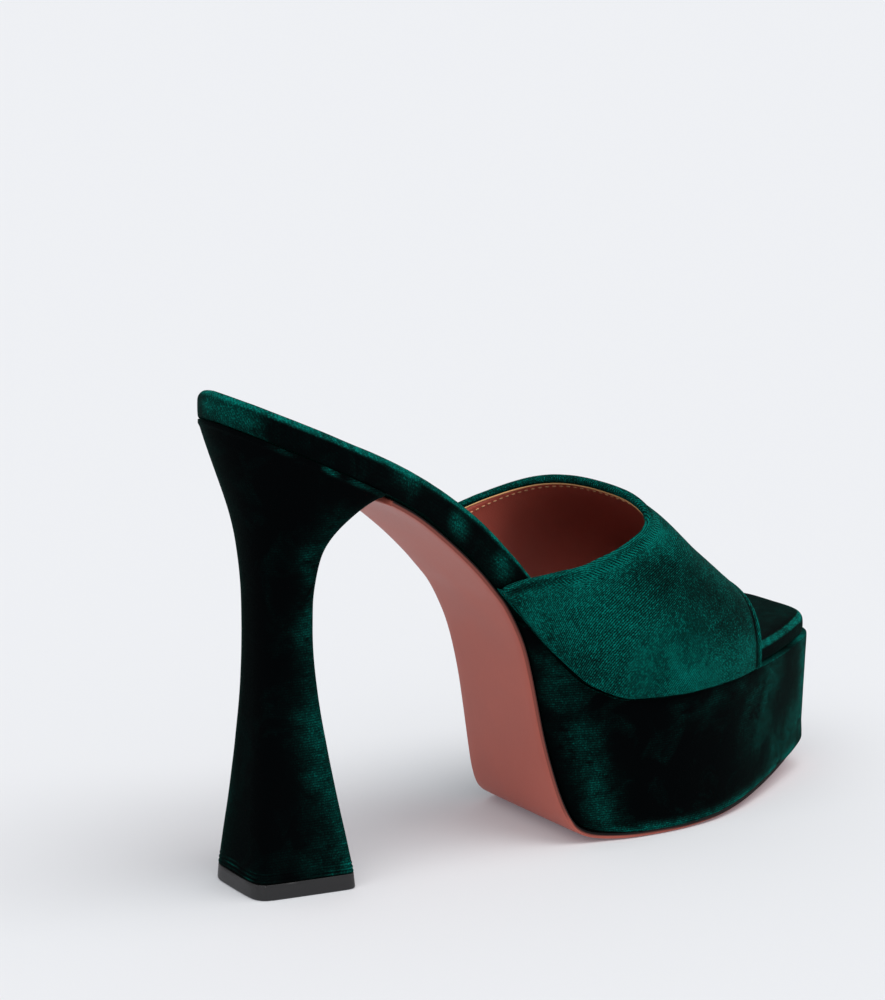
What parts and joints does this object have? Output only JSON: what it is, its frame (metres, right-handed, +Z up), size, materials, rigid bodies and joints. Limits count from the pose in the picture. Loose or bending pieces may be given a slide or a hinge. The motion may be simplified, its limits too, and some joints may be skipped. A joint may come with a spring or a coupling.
{
  "type": "platform mule",
  "caption": "High-heeled backless shoe with a peep-toe velvet upper, wrapped footbed, tall platform, leather outsole and flared heel.",
  "frame": {"origin": "on the floor under the middle of the shoe's box", "axes": "+X towards the toe, +Y towards the wearer's left, +Z up"},
  "size_m": [0.2266, 0.0802, 0.1442],
  "materials": {
    "footbed_velvet": "dark teal-green velvet, matt with a bright nap",
    "platform_velvet": "dark teal-green velvet, matt with a bright nap",
    "outsole_leather": "smooth dusty-rose leather, satin",
    "heel_velvet": "dark teal-green velvet, matt with a bright nap",
    "top_piece_rubber": "charcoal, satin",
    "upper_velvet": "teal-green velvet outside, rust-brown leather lining inside"
  },
  "bodies": {
    "root": {"footbed": "footbed_velvet", "platform": "platform_velvet", "outsole": "outsole_leather", "heel": "heel_velvet", "top_piece": "top_piece_rubber", "upper": "upper_velvet"}
  },
  "joints": []
}
